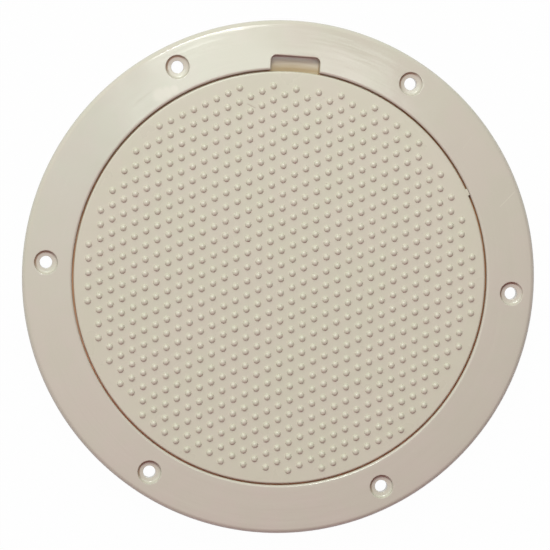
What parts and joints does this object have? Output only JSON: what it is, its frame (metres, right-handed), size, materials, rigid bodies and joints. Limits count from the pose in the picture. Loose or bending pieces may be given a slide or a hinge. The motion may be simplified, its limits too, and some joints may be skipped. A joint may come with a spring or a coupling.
{
  "type": "deck inspection plate",
  "caption": "Round screw-down deck plate: a ring with a collar and pry slot, and a flush pry-out lid with non-skid domes.",
  "frame": {"origin": "centre of the six-hole screw circle, on the underside of the flange that beds on the deck", "axes": "+Z out of the deck along the hatch axis, +Y through the pry slot, +X through a screw hole"},
  "size_m": [0.207, 0.207, 0.0259],
  "materials": {
    "ring_plastic": "moulded almond-beige plastic, satin with a soft shine",
    "lid_plastic": "moulded almond-beige plastic, satin, domed against slipping",
    "seal_rubber": "black rubber"
  },
  "bodies": {
    "ring": {"deck_ring": "ring_plastic"},
    "lid": {"lid": "lid_plastic", "seal_ring": "seal_rubber"}
  },
  "joints": [
    {"name": "lid_lift", "type": "slide", "parent": "ring", "child": "lid", "axis": [0, 0, 1], "range_m": [0, 0.03]}
  ]
}
